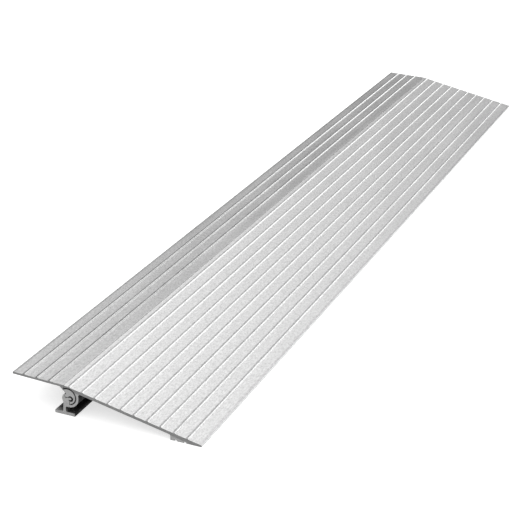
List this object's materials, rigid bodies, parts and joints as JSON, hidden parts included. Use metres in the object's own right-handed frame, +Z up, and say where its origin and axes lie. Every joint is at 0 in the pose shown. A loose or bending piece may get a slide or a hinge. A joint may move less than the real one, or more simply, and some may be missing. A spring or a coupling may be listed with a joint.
{
  "type": "threshold ramp",
  "caption": "Low aluminium doorway ramp: a ribbed sloping tread on a foot and nose, with a ribbed transition plate hinged along the ridge to rest on the sill.",
  "frame": {"origin": "on the floor under the middle of the whole ramp", "axes": "+X from the back edge to the front tip, +Y along the doorway, +Z up"},
  "size_m": [0.1666, 0.9144, 0.029],
  "materials": {
    "mill_aluminium": "mill-finish extrusion, satin, with fine die lines along the length and sawn ends",
    "spring_steel": "plain dark spring steel"
  },
  "bodies": {
    "ramp": {"ramp_section": "mill_aluminium", "retaining_pins": "spring_steel"},
    "plate": {"transition_plate": "mill_aluminium"}
  },
  "joints": [
    {"name": "plate_hinge", "type": "hinge", "parent": "ramp", "child": "plate", "pos_m": [-0.03295, 0, 0.0171], "axis": [0, 1, 0], "range_deg": [-10, 1]}
  ]
}
